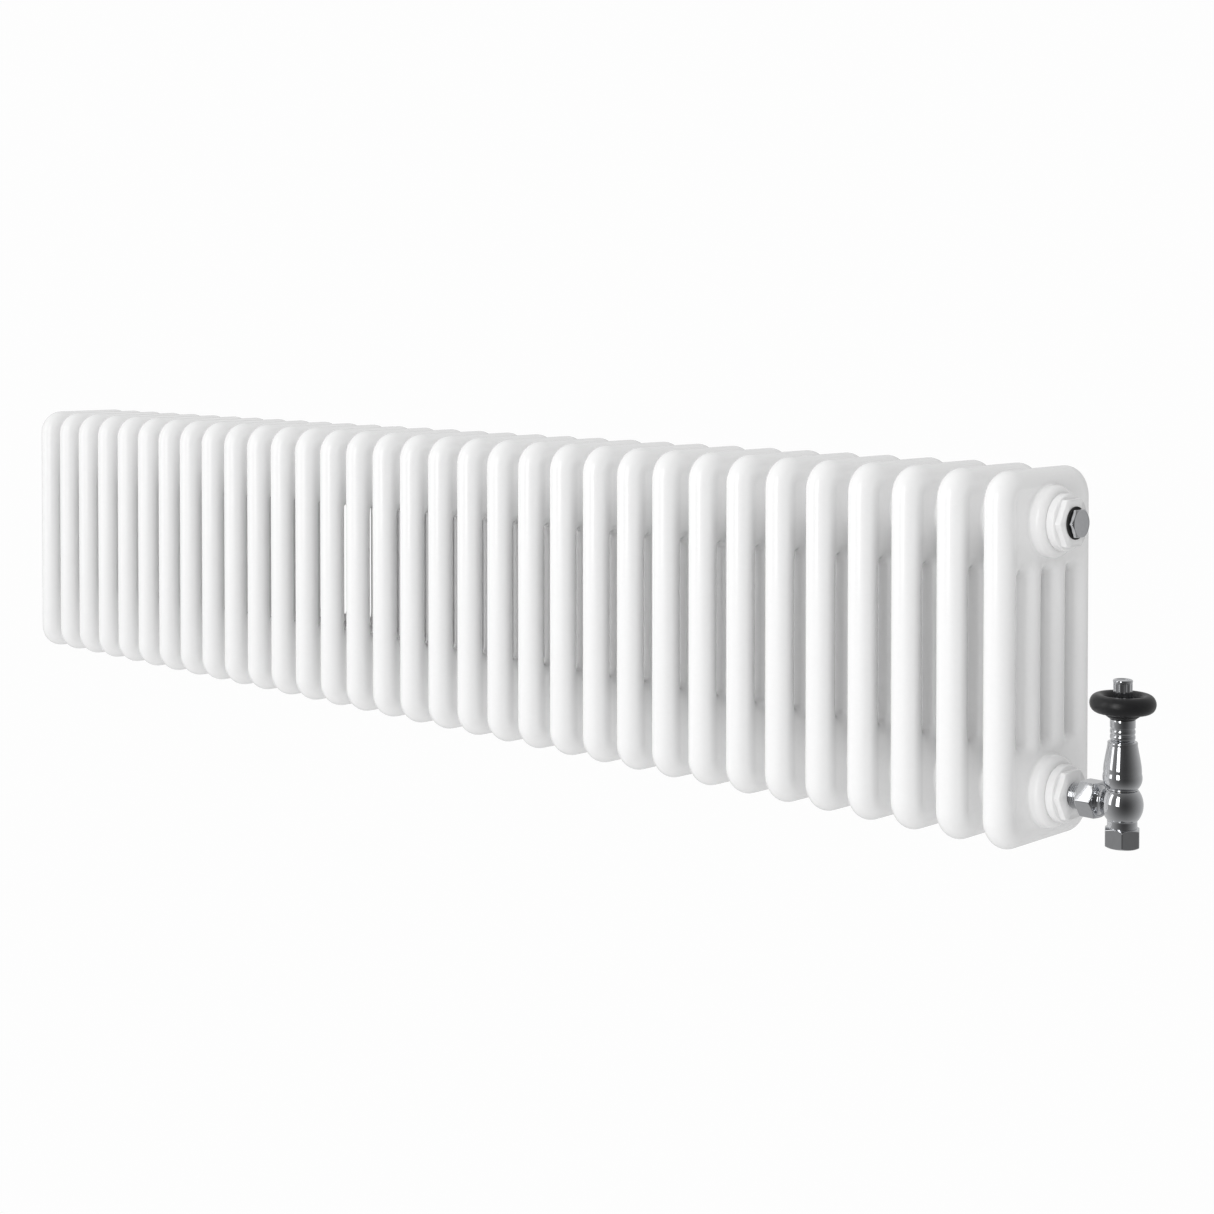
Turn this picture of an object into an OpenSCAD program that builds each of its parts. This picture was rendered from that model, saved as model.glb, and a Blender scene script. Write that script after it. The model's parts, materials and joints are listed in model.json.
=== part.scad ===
// White four-column tubular steel radiator with an angled thermostatic valve at its right end.
// The row's frame: +X runs along the radiator to the valve, the front faces -Y, +Z is up.
// The origin is at mid-length, on the plane of the rear columns' backs, level with the upper hubs.

/* [Radiator] */
// Number of sections side by side
section_count = 33; // [4:1:34]
// Distance from one section to the next
section_pitch = 45; // [42:0.5:60]
// Overall height of a section
section_h = 300; // [240:1:2000]
// Number of columns from front to back
column_count = 4; // [2:1:6]
// Distance from one column to the next, front to back
column_pitch = 35; // [33:0.5:45]
// Outside diameter of a column
column_d = 25; // [22:0.5:28]
// Outer radius of a section's four corners
corner_r = 26; // [25:0.5:34]
// Steel wall of columns and headers
steel_wall = 1.5; // [1:0.1:2.5]

/* [Headers and hubs] */
// Thickness of a header over its flat faces
header_t = 21.6; // [18:0.2:21.8]
// Height of a header, from the section's edge to the ends of the slots
header_h = 82; // [75:1:100]
// Distance of the hub axis from the section's edge
hub_inset = 42; // [40:0.5:45]
// Diameter of the round hub dome
hub_d = 58.6; // [56:0.2:60]
// Radius of the roll on the edge of a hub dome
hub_roll_r = 6; // [4:0.5:7]

/* [Bushes and plugs] */
// Diameter of a reducing bush's round flange
flange_d = 46; // [44:0.5:47]
// Length of a reducing bush's round flange
flange_l = 6.7; // [4:0.1:12]
// Edge roll of a reducing bush's round flange
flange_roll_r = 1.5; // [0.5:0.25:2]
// Width across the flats of a reducing bush
bush_af = 37.6; // [34:0.2:39]
// Length of a reducing bush's hexagon
bush_hex_l = 5; // [3:0.5:10]
// Diameter of the bush's screwed part
bush_thread_d = 41.2; // [38:0.2:41.4]
// Length of the bush's screwed part
bush_thread_l = 13; // [8:0.5:14]
// Thickness of the bush gasket
gasket_t = 0.8; // [0.5:0.1:2]
// Diameter of the tapped hole through a bush
tapping_d = 18.6; // [18:0.1:19]
// Width across the flats of the plug heads
plug_af = 22; // [20:0.5:24]
// Length of the plug heads
plug_head_l = 4.5; // [3:0.5:10]
// Length of the plugs' screwed part
plug_thread_l = 12; // [6:0.5:14]
// Cord thickness of the plugs' sealing rings
plug_seal_t = 1.8; // [1:0.1:2.5]
// Outside diameter of the plugs' sealing rings
plug_seal_d = 25.4; // [24:0.2:28]
// Diameter of the bleed screw
bleed_d = 8; // [6:0.5:10]
// Width across the square of the bleed screw
bleed_sq = 5; // [4:0.25:5.5]

/* [Valve union] */
// Distance of the valve's upright axis from the bush face
valve_reach = 43.5; // [42:0.5:60]
// Diameter of the tail's screw thread
tail_thread_d = 20.8; // [20:0.1:21]
// Length of thread left showing beside the bush
tail_thread_l = 5.6; // [4:0.2:7]
// Diameter of the tail's smooth barrel
tail_d = 19.2; // [18.4:0.1:19.6]
// Gap between the bush face and the union nut
union_gap = 10; // [9:0.5:12]
// Width across the flats of the union nut
union_af = 27.6; // [27:0.2:30]
// Length of the union nut
union_l = 14.4; // [13:0.2:16]
// Diameter of the valve's side spigot
spigot_d = 17.7; // [16:0.1:18.4]
// Waterway through the union
waterway_d = 12; // [10:0.5:13]

/* [Valve body] */
// Largest diameter of the body's barrel
barrel_d = 32.2; // [31:0.2:36]
// Profile radius of the body's barrel
barrel_round_r = 19.3; // [17:0.1:24]
// Diameter of the body's upper collar
collar_d = 24.4; // [23:0.2:26]
// Diameter of the body's lower neck
neck_low_d = 23; // [22:0.2:24]
// Width across the flats of the pipe nut
pipe_nut_af = 26; // [25:0.2:28]
// Height of the pipe nut
pipe_nut_h = 15; // [14:0.5:18]
// Outside diameter of the pipe that fits the inlet
pipe_d = 15; // [15:0.1:15]
// Clearance all round the pipe
pipe_gap = 0.1; // [0.05:0.01:0.3]

/* [Valve head] */
// Largest diameter of the vase-shaped bonnet
vase_d = 30.4; // [28:0.2:33]
// Diameter of the bonnet's top rim
vase_top_d = 22.6; // [21:0.2:24]
// Height of the vase-shaped bonnet
vase_h = 37.6; // [36:0.2:46]
// Diameter of the neck sleeve
sleeve_d = 19.5; // [18.6:0.1:20]
// Height of the neck sleeve
sleeve_h = 17.4; // [15:0.2:24]
// Diameter of the handwheel
wheel_d = 51; // [44:1:60]
// Thickness of the handwheel's rim
wheel_t = 14.4; // [13:0.2:18]
// Diameter of the handwheel's dished centre
wheel_dish_d = 26; // [24:0.5:30]
// Diameter of the fluted cap
cap_d = 15.2; // [14:0.2:17]
// Height of the fluted cap above the dish
cap_h = 15; // [12:0.5:20]
// Number of flutes round the cap
flute_count = 12; // [8:1:16]
// Running clearance between turning or sliding pieces
run_gap = 0.08; // [0.05:0.01:0.1]

/* [Hidden] */
$fn = 64;
function section_name(i) = str("section_", i < 9 ? "0" : "", i + 1);

// Radiator: derived sizes
column_r = column_d / 2;
section_d = (column_count - 1) * column_pitch + column_d;
bend_r = corner_r - column_r;
mid_y = -section_d / 2;
top_z = hub_inset;
foot_z = hub_inset - section_h;
low_hub_z = foot_z + hub_inset;
end_x = (section_count - 1) / 2 * section_pitch;
half_pitch = section_pitch / 2;
hub_neck_r = bush_thread_d / 2 + 0.1;
arch_r = column_pitch / 2 - 8;
tongue_z = section_h - header_h + 1.5;
hub_roll_in = hub_d / 2 - hub_roll_r;

// Distances out from the end section's middle plane
bush_seat = half_pitch + gasket_t;
bush_face = bush_seat + flange_l + bush_hex_l;
plug_seat = bush_face + plug_seal_t;

// Valve: heights are above or below the lower hub axis
valve_x = end_x + bush_face + valve_reach;
collar_z = sqrt(pow(barrel_round_r, 2) - pow(barrel_round_r - (barrel_d - collar_d) / 2, 2));
barrel_low_z = -sqrt(pow(barrel_round_r, 2) - pow(barrel_round_r - (barrel_d - neck_low_d) / 2, 2));
pipe_nut_top = -18.2;
pipe_nut_low = pipe_nut_top - pipe_nut_h;
pipe_r = pipe_d / 2 + pipe_gap;
body_low_z = pipe_nut_low + 7;
pipe_stop_z = -14.5;
body_thread_r = 9.6;
seat_z = -3;
seat_r = 5.2;
chamber_r = 8.6;
bonnet_z = collar_z;
vase_top_z = bonnet_z + vase_h;
sleeve_low_z = vase_top_z;
sleeve_spigot_l = 2;
sleeve_top_z = sleeve_low_z + sleeve_h;
hub_drop = 4.6;
wheel_low_z = sleeve_top_z + 0.3 + hub_drop;
wheel_top_z = wheel_low_z + wheel_t;
dish_depth = 4.4;
hub_flange_t = 0.9;
wheel_bore_r = 6;
insert_low_z = 5;
insert_top_z = collar_z + 5;
insert_r = chamber_r - 0.05;
spindle_r = 1.6;
spindle_head_r = 4.4;
spring_low_z = insert_top_z;
spring_h = 6.5;
head_z = spring_low_z + spring_h;
head_t = 1.6;
disc_r = 6.8;
disc_t = 2.4;
lift = 1.25;
disc_z = seat_z + lift + 0.15;
capsule_r = 8.4;
capsule_low_z = head_z + head_t;
capsule_h = vase_top_z - sleeve_spigot_l - lift - 1 - capsule_low_z;
stem_r = 4.2;
bonnet_bore_r = capsule_r + 0.5;

// Bleed screw: depth of its seat below the plug head
bleed_drop = 5.2;

// Union: positions are measured out from the bush face
nut_low = union_gap;
nut_high = union_gap + union_l;
shoulder_t = 3.4;
nut_thread_r = 12.1;
tail_flange_r = 11.7;
tail_flange_t = 2.6;
spigot_face = nut_low + shoulder_t + tail_flange_t + 0.3;

module at_valve(z = 0) {
    translate([valve_x, mid_y, low_hub_z + z]) children();
}

// Turns a shape made along +Z so that it runs along +X from the given point
module along_x(x, z) {
    translate([x, mid_y, z]) rotate([0, 90, 0]) children();
}

// The four hub ends: side is 1 for the right end and -1 for the left end
module at_hub_end(side, z, out) {
    translate([side * end_x, mid_y, z]) rotate([0, side * 90, 0]) translate([0, 0, out]) children();
}

// Rim of a header in cross-section: the round edge and the flat strip behind it
module rim_profile(inset) {
    translate([bend_r, 0]) circle(r = column_r - inset);
    translate([0, inset - header_t / 2]) square([bend_r, header_t - 2 * inset]);
}

// Round bar and strip along the top of a header, with its two bent corners
module header_rim(inset) {
    straight = section_d - 2 * corner_r;
    for (side = [-1, 1])
        translate([0, side * straight / 2, section_h - corner_r])
            rotate([90, 0, 90])
                rotate([0, 0, side > 0 ? 0 : 90])
                    rotate_extrude(angle = 90) rim_profile(inset);
    translate([0, straight / 2, section_h - corner_r])
        rotate([90, 0, 0])
            linear_extrude(straight)
                rotate(90) rim_profile(inset);
}

// Flat part of a header, with arches between the columns
module header_web(inset) {
    web_d = section_d - column_d;
    low = section_h - header_h - arch_r;
    difference() {
        translate([inset - header_t / 2, -web_d / 2, low])
            cube([header_t - 2 * inset, web_d, section_h - corner_r - low]);
        for (i = [0:column_count - 2])
            translate([0, (i + 1) * column_pitch - web_d / 2 - column_pitch / 2, low])
                rotate([0, 90, 0]) cylinder(r = arch_r + inset, h = header_t + 2, center = true);
    }
}

// Hub dome on one face of a header, revolved about the hub axis, with a rolled edge
module hub_dome() {
    rotate([0, 90, 0]) rotate_extrude() {
        square([hub_d / 2, half_pitch - hub_roll_r]);
        square([hub_roll_in, half_pitch]);
        translate([hub_roll_in, half_pitch - hub_roll_r]) circle(r = hub_roll_r);
    }
}

// Waterway inside both domes of a header
module hub_waterway(inset) {
    rotate([0, 90, 0])
        cylinder(r = hub_roll_in + inset, h = section_pitch - 2 * inset, center = true);
}

module front_column(inset) {
    translate([0, 0, corner_r])
        cylinder(r = column_r - inset, h = section_h - 2 * corner_r);
}

// Inner column with rounded ends that stand proud of the header as short tongues
module inner_column(inset) {
    low = section_h - tongue_z;
    r = column_r - inset;
    rotate_extrude() intersection() {
        translate([0, low - r]) square([r + 1, tongue_z - low + 2 * r]);
        union() {
            translate([0, low]) square([r, tongue_z - low]);
            translate([0, low]) circle(r = r);
            translate([0, tongue_z]) circle(r = r);
        }
    }
}

module section_header(inset) {
    header_rim(inset);
    header_web(inset);
    translate([0, 0, section_h - hub_inset])
        if (inset > 0) hub_waterway(inset);
        else for (side = [0, 1]) mirror([side, 0, 0]) hub_dome();
}

// Outside (inset 0) or waterway (inset of one wall) of a whole section
module section_form(inset) {
    for (i = [0:column_count - 1])
        translate([0, (i - (column_count - 1) / 2) * column_pitch, 0])
            if (i == 0 || i == column_count - 1) front_column(inset); else inner_column(inset);
    section_header(inset);
    translate([0, 0, section_h]) mirror([0, 0, 1]) section_header(inset);
}

module radiator_section(i) {
    color("white")
        translate([(i - (section_count - 1) / 2) * section_pitch, mid_y, foot_z])
            difference() {
                section_form(0);
                section_form(steel_wall);
                for (z = [hub_inset, section_h - hub_inset])
                    translate([0, 0, z]) rotate([0, 90, 0])
                        cylinder(r = hub_neck_r, h = section_pitch + 2, center = true);
            }
}

module hex_prism(af, h) {
    cylinder(r = af / sqrt(3), h = h, $fn = 6);
}

// Reducing bush: a round flange with a rolled edge, a hexagon and the screwed part
module bush(side, z) {
    r = flange_d / 2;
    color("white") at_hub_end(side, z, bush_seat) difference() {
        union() {
            rotate_extrude() {
                square([r - flange_roll_r, flange_l]);
                square([r, flange_l - flange_roll_r]);
                translate([r - flange_roll_r, flange_l - flange_roll_r]) circle(r = flange_roll_r);
            }
            intersection() {
                rotate([0, 0, 90]) hex_prism(bush_af, flange_l + bush_hex_l);
                cylinder(r1 = bush_af / 2 + 6.4, r2 = bush_af / 2 + 1.6, h = flange_l + bush_hex_l);
            }
            translate([0, 0, -gasket_t - bush_thread_l])
                cylinder(d = bush_thread_d, h = gasket_t + bush_thread_l + 0.5);
        }
        translate([0, 0, -gasket_t - bush_thread_l - 1])
            cylinder(d = tapping_d, h = 60);
    }
}

module bush_top_right() { bush(1, 0); }
module bush_bottom_right() { bush(1, low_hub_z); }
module bush_top_left() { bush(-1, 0); }
module bush_bottom_left() { bush(-1, low_hub_z); }

module bush_gaskets() {
    color("dimgray") for (side = [-1, 1]) for (z = [0, low_hub_z])
        at_hub_end(side, z, half_pitch) difference() {
            cylinder(r = flange_d / 2 - flange_roll_r, h = gasket_t);
            translate([0, 0, -1]) cylinder(r = bush_thread_d / 2 + 0.05, h = gasket_t + 2);
        }
}

// Hexagon plug head with a turned chamfer round its face
module plug_head() {
    intersection() {
        rotate([0, 0, 90]) hex_prism(plug_af, plug_head_l);
        cylinder(r1 = plug_af / 2 + 3.2, r2 = plug_af / 2 - 0.4, h = plug_head_l);
    }
}

module plug_blank() {
    plug_head();
    translate([0, 0, -plug_seal_t - plug_thread_l])
        cylinder(r = tapping_d / 2 - 0.1, h = plug_seal_t + plug_thread_l + 0.5);
}

module blank_plug() {
    color("gainsboro") at_hub_end(1, 0, plug_seat) plug_blank();
}

module plug_o_rings() {
    color("black") for (side = [-1, 1])
        at_hub_end(side, 0, bush_face) difference() {
            cylinder(d = plug_seal_d, h = plug_seal_t);
            translate([0, 0, -1]) cylinder(r = tapping_d / 2, h = plug_seal_t + 2);
        }
}

module vent_plug() {
    color("gainsboro") at_hub_end(-1, 0, plug_seat) difference() {
        plug_blank();
        translate([0, 0, -bleed_drop - 0.3]) cylinder(r = bleed_d / 2 + run_gap, h = 20);
        translate([0, 0, -plug_seal_t - plug_thread_l - 1]) cylinder(r = 1.5, h = 30);
    }
}

module bleed_screw() {
    color("gainsboro") at_hub_end(-1, 0, plug_seat - bleed_drop) {
        cylinder(d = bleed_d, h = 5.5);
        translate([0, 0, 5.2])
            translate([-bleed_sq / 2, -bleed_sq / 2, 0]) cube([bleed_sq, bleed_sq, 4.6]);
    }
}

module valve_tail() {
    color("silver") along_x(end_x + bush_face, low_hub_z) difference() {
        union() {
            translate([0, 0, -plug_thread_l])
                cylinder(r = tapping_d / 2 - 0.1, h = plug_thread_l + 1);
            translate([0, 0, 0.2]) rotate_extrude() {
                square([tail_d / 2, tail_thread_l]);
                for (i = [0:3]) translate([0, 0.15 + i * 1.4])
                    polygon([[0, 0], [tail_d / 2 - 0.1, 0], [tail_thread_d / 2, 0.4],
                             [tail_thread_d / 2, 0.75], [tail_d / 2 - 0.1, 1.15], [0, 1.15]]);
            }
            cylinder(d = tail_d, h = spigot_face - 0.3);
            translate([0, 0, nut_low + shoulder_t])
                cylinder(r = tail_flange_r, h = tail_flange_t);
        }
        translate([0, 0, -plug_thread_l - 1])
            cylinder(d = waterway_d, h = plug_thread_l + spigot_face + 2);
    }
}

module union_nut() {
    color("silver") along_x(end_x + bush_face + nut_low, low_hub_z) difference() {
        intersection() {
            rotate([0, 0, 90]) hex_prism(union_af, union_l);
            cylinder(r1 = union_af / 2 + 1, r2 = union_af / 2 + 1 + union_l * 0.6, h = union_l);
            cylinder(r1 = union_af / 2 + union_l, r2 = union_af / 2, h = union_l);
        }
        translate([0, 0, -1]) cylinder(r = tail_d / 2 + 0.15, h = union_l + 2);
        translate([0, 0, shoulder_t]) cylinder(r = nut_thread_r, h = union_l);
    }
}

// Outline of the turned body: collar, barrel, lower neck and the screwed end under the nut
module body_outline() {
    intersection() {
        translate([0, barrel_low_z]) square([barrel_d, collar_z - barrel_low_z]);
        translate([barrel_d / 2 - barrel_round_r, 0]) circle(r = barrel_round_r, $fn = 128);
    }
    translate([0, pipe_nut_top]) square([neck_low_d / 2, barrel_low_z - pipe_nut_top + 0.5]);
    translate([0, body_low_z]) square([body_thread_r, pipe_nut_top - body_low_z + 0.5]);
}

module valve_body() {
    spigot_l = valve_reach - spigot_face;
    color("silver") difference() {
        union() {
            at_valve() rotate_extrude() body_outline();
            at_valve() rotate([0, -90, 0]) cylinder(d = spigot_d, h = spigot_l);
            along_x(end_x + bush_face + spigot_face, low_hub_z)
                cylinder(r = nut_thread_r - 0.1, h = nut_high - spigot_face - 0.6);
            along_x(end_x + bush_face + nut_high - 0.6, low_hub_z)
                cylinder(r1 = nut_thread_r - 0.1, r2 = spigot_d / 2, h = 1.8);
        }
        at_valve(body_low_z - 1) cylinder(r = pipe_r, h = pipe_stop_z - body_low_z + 1);
        at_valve(pipe_stop_z - 1) cylinder(r = seat_r, h = seat_z - pipe_stop_z + 2);
        at_valve(seat_z) cylinder(r = chamber_r, h = 60);
        at_valve() rotate([0, -90, 0]) cylinder(d = waterway_d, h = spigot_l + 1);
    }
}

module inlet_nut() {
    nut_bore = body_thread_r + 0.1;
    floor_t = 3;
    color("silver") at_valve(pipe_nut_low) difference() {
        intersection() {
            hex_prism(pipe_nut_af, pipe_nut_h);
            cylinder(r1 = pipe_nut_af / 2 - 0.2, r2 = pipe_nut_af / 2 + pipe_nut_h, h = pipe_nut_h);
            cylinder(r1 = pipe_nut_af / 2 + 0.6 + pipe_nut_h * 0.7, r2 = pipe_nut_af / 2 - 0.6,
                     h = pipe_nut_h);
        }
        translate([0, 0, -1]) cylinder(r = pipe_r, h = pipe_nut_h + 2);
        translate([0, 0, floor_t]) cylinder(r = nut_bore, h = pipe_nut_h);
    }
}

// Compression ring squeezed between the nut's floor and the body's lower end
module olive() {
    low = pipe_nut_low + 3.1;
    h = body_low_z - low - 0.1;
    color("goldenrod") at_valve(low) difference() {
        rotate_extrude() polygon([[0, 0], [8.3, 0], [9.3, h / 3], [9.3, 2 * h / 3], [8.3, h], [0, h]]);
        translate([0, 0, -1]) cylinder(r = pipe_r, h = h + 2);
    }
}

// Vase-shaped bonnet: a tapered cup with a swelling near its foot and a rim on top
module bonnet_outline() {
    swell_z = 9.4;
    swell_r = 12;
    belly_z = 15.6;
    r = vase_d / 2;
    square([collar_d / 2 - 0.4, 1.2]);
    intersection() {
        translate([0, 0.8]) square([r, belly_z - 0.8]);
        translate([r - swell_r, swell_z]) circle(r = swell_r);
    }
    polygon([[0, swell_z], [r - 0.02, swell_z], [r - 0.5, belly_z + 1], [r - 0.9, belly_z + 4.6],
             [vase_top_d / 2 + 0.25, vase_h - 2.6], [vase_top_d / 2, vase_h - 1.3],
             [vase_top_d / 2 - 1.1, vase_h], [0, vase_h]]);
}

module bonnet() {
    color("silver") at_valve(bonnet_z) difference() {
        rotate_extrude() bonnet_outline();
        translate([0, 0, -1]) cylinder(r = bonnet_bore_r, h = vase_h + 2);
    }
}

// Neck sleeve above the bonnet: a spigot, two turned beads and a plain barrel
module neck_sleeve() {
    r = sleeve_d / 2;
    bead_r = 1.95;
    plain_z = 10.7;
    color("silver") at_valve(sleeve_low_z) difference() {
        rotate_extrude() {
            translate([0, -sleeve_spigot_l]) square([bonnet_bore_r - 0.05, sleeve_spigot_l + 1]);
            square([r - 0.6, sleeve_h]);
            for (z = [3.4, 7.7]) translate([r - bead_r, z]) circle(r = bead_r);
            translate([0, plain_z]) square([r, sleeve_h - plain_z]);
        }
        translate([0, 0, -sleeve_spigot_l - 1])
            cylinder(r = stem_r + run_gap, h = sleeve_h + sleeve_spigot_l + 2);
    }
}

// Ring-shaped handwheel: a round rim, a dished web and a tapered collar underneath
module handwheel() {
    dish_r = wheel_dish_d / 2;
    rim_r = (wheel_d / 2 - dish_r) / 2;
    rim_mid = dish_r + rim_r;
    color([0.08, 0.08, 0.085]) at_valve(wheel_low_z) difference() {
        rotate_extrude() {
            for (z = [rim_r, wheel_t - rim_r]) translate([rim_mid, z]) circle(r = rim_r);
            translate([dish_r, rim_r]) square([2 * rim_r, wheel_t - 2 * rim_r]);
            square([rim_mid, wheel_t - dish_depth]);
            polygon([[0, -hub_drop], [sleeve_d / 2 + 0.5, -hub_drop], [dish_r + 0.6, 0.2 - hub_drop / 2],
                     [rim_mid - 0.5, 0.5], [0, 0.5]]);
        }
        translate([0, 0, -hub_drop - 1]) cylinder(r = wheel_bore_r, h = wheel_t + hub_drop);
    }
}

// Chrome insert in the wheel's centre: a flange in the dish and the driving bush below it
module wheel_hub() {
    floor_z = wheel_t - dish_depth;
    color("silver") at_valve(wheel_low_z) difference() {
        union() {
            translate([0, 0, 0.4 - hub_drop])
                cylinder(r = wheel_bore_r - 0.05, h = floor_z + hub_drop);
            translate([0, 0, floor_z]) cylinder(r = 9.3, h = hub_flange_t);
        }
        translate([0, 0, -hub_drop - 1]) cylinder(r = stem_r + run_gap, h = floor_z + 2);
    }
}

module wheel_cap() {
    r = cap_d / 2;
    color("silver") at_valve(wheel_top_z - dish_depth + hub_flange_t) difference() {
        rotate_extrude() {
            square([r - 1.2, cap_h]);
            square([r, cap_h - 1.2]);
            translate([r - 1.2, cap_h - 1.2]) circle(r = 1.2);
        }
        for (i = [0:flute_count - 1]) rotate([0, 0, i * 360 / flute_count])
            translate([r + 0.45, 0, -1]) cylinder(r = 1, h = cap_h - 1.4);
        translate([0, 0, cap_h - 0.8]) cylinder(r1 = r - 2.4, r2 = r - 1.4, h = 1);
    }
}

module sensor_capsule() {
    color("goldenrod") at_valve(capsule_low_z) {
        rotate_extrude() {
            square([capsule_r - 0.8, capsule_h]);
            translate([0, 0.8]) square([capsule_r, capsule_h - 1.6]);
            translate([capsule_r - 0.8, 0.8]) circle(r = 0.8);
            translate([capsule_r - 0.8, capsule_h - 0.8]) circle(r = 0.8);
        }
        translate([0, 0, capsule_h - 0.5])
            cylinder(r = stem_r, h = wheel_low_z - capsule_low_z - capsule_h + 4);
    }
}

module valve_spindle() {
    color("silver") {
        at_valve(disc_z + disc_t) cylinder(r = spindle_r, h = head_z - disc_z - disc_t + 0.5);
        at_valve(head_z) cylinder(r = spindle_head_r, h = head_t - 0.05);
    }
}

module valve_disc() {
    color("dimgray") at_valve(disc_z) cylinder(r = disc_r, h = disc_t);
}

// Return spring: a round wire wound on a helix, ends laid on the insert and the spindle head
module return_spring() {
    wire_r = 0.45;
    coil_r = 3.2;
    turns = 5;
    steps = 20;
    sides = 8;
    low = wire_r + 0.05;
    rise = spring_h - 2 * low;
    rings = turns * steps;
    points = [for (i = [0:rings]) for (j = [0:sides - 1])
        let (a = i * 360 / steps, b = j * 360 / sides, r = coil_r + wire_r * cos(b))
        [r * cos(a), r * sin(a), low + rise * i / rings + wire_r * sin(b)]];
    skin = [for (i = [0:rings - 1]) for (j = [0:sides - 1])
        let (k = (j + 1) % sides)
        [i * sides + j, i * sides + k, (i + 1) * sides + k, (i + 1) * sides + j]];
    caps = [[for (j = [sides - 1:-1:0]) j], [for (j = [0:sides - 1]) rings * sides + j]];
    color("lightsteelblue") at_valve(spring_low_z)
        polyhedron(points = points, faces = concat(skin, caps), convexity = 10);
}

// Gland insert screwed into the body's top, with a bore for the spindle and a seal groove
module gland_insert() {
    color("goldenrod") at_valve(insert_low_z) difference() {
        cylinder(r = insert_r, h = insert_top_z - insert_low_z);
        translate([0, 0, -1]) cylinder(r = spindle_r + run_gap, h = 60);
        translate([0, 0, 4]) cylinder(r = 3.1, h = 2.2);
    }
}

module spindle_o_ring() {
    color("black") at_valve(insert_low_z + 4.1) difference() {
        cylinder(r = 3, h = 2);
        translate([0, 0, -1]) cylinder(r = spindle_r + run_gap, h = 4);
    }
}

for (i = [0:section_count - 1])
    radiator_section(i);
bush_top_right();
bush_bottom_right();
bush_top_left();
bush_bottom_left();
bush_gaskets();
blank_plug();
plug_o_rings();
vent_plug();
bleed_screw();
valve_tail();
union_nut();
valve_body();
inlet_nut();
olive();
bonnet();
neck_sleeve();
handwheel();
wheel_hub();
wheel_cap();
sensor_capsule();
valve_spindle();
valve_disc();
return_spring();
gland_insert();
spindle_o_ring();
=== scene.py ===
# %% [markdown]
# # A white column radiator and its chrome valve
# The radiator is a row of welded steel sections. Each section has four upright tubes between two
# pressed headers, and the sections are joined at round hubs. A chrome valve with a black wheel
# hangs on its right end. We load the measured frame first, because every piece below is built
# round it and moves with it.

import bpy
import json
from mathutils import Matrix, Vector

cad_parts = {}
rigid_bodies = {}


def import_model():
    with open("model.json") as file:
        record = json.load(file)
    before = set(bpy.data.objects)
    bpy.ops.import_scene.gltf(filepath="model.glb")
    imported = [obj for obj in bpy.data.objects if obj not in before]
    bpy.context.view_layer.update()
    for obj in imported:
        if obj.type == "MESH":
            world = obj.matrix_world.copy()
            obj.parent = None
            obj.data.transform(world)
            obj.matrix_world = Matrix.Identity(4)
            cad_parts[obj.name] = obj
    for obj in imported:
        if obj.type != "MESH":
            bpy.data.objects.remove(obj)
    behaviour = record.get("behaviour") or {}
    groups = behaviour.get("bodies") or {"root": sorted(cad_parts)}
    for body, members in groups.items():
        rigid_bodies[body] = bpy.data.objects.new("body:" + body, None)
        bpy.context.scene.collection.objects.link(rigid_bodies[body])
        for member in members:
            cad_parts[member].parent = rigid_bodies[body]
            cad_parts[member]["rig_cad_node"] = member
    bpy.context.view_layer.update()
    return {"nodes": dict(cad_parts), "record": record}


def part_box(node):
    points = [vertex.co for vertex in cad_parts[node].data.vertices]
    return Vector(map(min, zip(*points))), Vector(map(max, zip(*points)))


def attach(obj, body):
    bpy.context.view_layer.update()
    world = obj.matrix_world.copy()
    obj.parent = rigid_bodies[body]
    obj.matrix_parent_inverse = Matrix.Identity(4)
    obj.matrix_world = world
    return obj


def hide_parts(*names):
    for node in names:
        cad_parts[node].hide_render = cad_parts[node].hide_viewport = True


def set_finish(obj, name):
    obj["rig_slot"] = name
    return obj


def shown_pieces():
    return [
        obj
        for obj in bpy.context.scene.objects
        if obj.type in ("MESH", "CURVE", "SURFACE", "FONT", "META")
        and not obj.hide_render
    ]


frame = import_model()

# %% Tools
import json
import math

import bpy
import numpy as np
from mathutils import Vector

MM = 0.001

# %% [markdown]
# ## Places
# All the shapes are worked out in millimetres and scaled to metres when a mesh is made. The
# places come from the frame's own nodes, so a piece can't drift away from the solid it covers.

# %% Places read from the frame
def node_box(node):
    """Lowest and highest corner of a frame node, in millimetres."""
    low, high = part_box(node)
    return np.array(low) / MM, np.array(high) / MM


section_names = sorted(n for n in frame["nodes"] if n.startswith("section_"))
low, high = node_box(section_names[0])
section_size = high - low
mid_y, mid_z = (low[1] + high[1]) / 2, (low[2] + high[2]) / 2
section_x = [float(sum(node_box(n))[0] / 2) for n in section_names]
low, high = node_box("handwheel")
valve_x = float((low[0] + high[0]) / 2)
low, high = node_box("union_nut")
lower_hub_z = float((low[2] + high[2]) / 2)
print(len(section_names), "sections of", section_size.round(1), "valve axis at x", round(valve_x, 2))

# %% [markdown]
# ## From arrays to meshes
# A surface here is a grid: a rule gives a point for every pair of parameters, so numpy can work
# out the whole sheet at once. Neighbouring sheets share the points along their edges. Merging
# those doubles is what makes one closed skin, with shading that runs smoothly across the joins.

# %% Grid helpers
def grid_faces(rows, columns, start=0, wrap=False):
    """Quads between neighbouring rows and columns of a grid; wrap joins the last column to the first."""
    across = columns if wrap else columns - 1
    i, j = np.meshgrid(np.arange(rows - 1), np.arange(across), indexing="ij")
    k = (j + 1) % columns
    a, b = i * columns + j, i * columns + k
    return start + np.stack([a, b, b + columns, a + columns], -1).reshape(-1, 4)


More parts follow.
